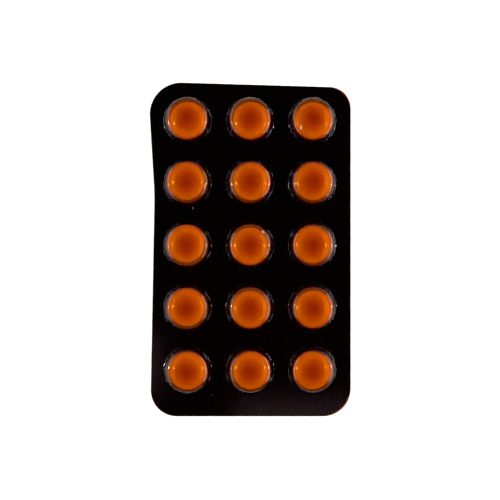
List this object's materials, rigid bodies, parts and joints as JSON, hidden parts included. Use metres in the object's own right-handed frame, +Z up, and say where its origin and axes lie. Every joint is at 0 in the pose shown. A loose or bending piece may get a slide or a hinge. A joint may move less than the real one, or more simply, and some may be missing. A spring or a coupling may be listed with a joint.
{
  "type": "pill blister pack",
  "caption": "Dark amber blister card with domed round pockets, each holding a loose glossy orange tablet, sealed with aluminium foil on its flat back.",
  "frame": {"origin": "middle of the card's outline box, on the foil's underside", "axes": "+X across the card to the right, +Y along the card towards the end with the narrow margin, +Z up through the pockets"},
  "size_m": [0.0507, 0.0842, 0.005],
  "materials": {
    "film": "glossy see-through dark amber rigid film",
    "foil": "bright foil with a fine pressed seal pattern",
    "tablet": "smooth glossy orange coat"
  },
  "bodies": {
    "root": {"forming_film": "film", "lidding_foil": "foil", "tablet_r1c1": "tablet", "tablet_r1c2": "tablet", "tablet_r1c3": "tablet", "tablet_r2c1": "tablet", "tablet_r2c2": "tablet", "tablet_r2c3": "tablet", "tablet_r3c1": "tablet", "tablet_r3c2": "tablet", "tablet_r3c3": "tablet", "tablet_r4c1": "tablet", "tablet_r4c2": "tablet", "tablet_r4c3": "tablet", "tablet_r5c1": "tablet", "tablet_r5c2": "tablet", "tablet_r5c3": "tablet"}
  },
  "joints": []
}
